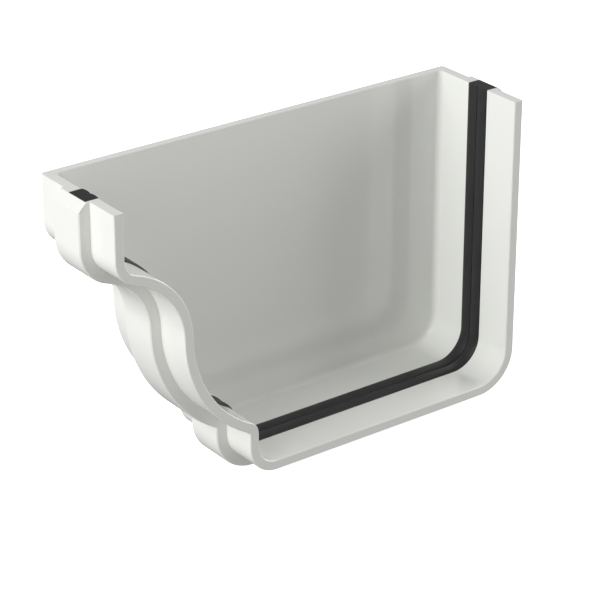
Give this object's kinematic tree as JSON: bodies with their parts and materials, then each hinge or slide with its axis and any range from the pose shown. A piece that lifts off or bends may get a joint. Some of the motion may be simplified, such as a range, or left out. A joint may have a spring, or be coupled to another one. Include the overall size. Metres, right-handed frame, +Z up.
{
  "type": "gutter end cap",
  "caption": "Ogee gutter end cap: a flat end plate with a moulded collar round it, a raised seal band and a ribbed rubber seal inside, open at the mouth and along the top.",
  "frame": {"origin": "below the middle of the cap's bounding box, level with the underside of the seal band", "axes": "+X from the front lip to the back wall, +Y from the mouth to the end plate, +Z up as the cap hangs on a gutter"},
  "size_m": [0.123, 0.0304, 0.0798],
  "materials": {
    "white_plastic": "smooth white moulded plastic, glossy",
    "black_rubber": "black rubber, satin"
  },
  "bodies": {
    "root": {"cap_body": "white_plastic", "rubber_seal": "black_rubber"}
  },
  "joints": []
}
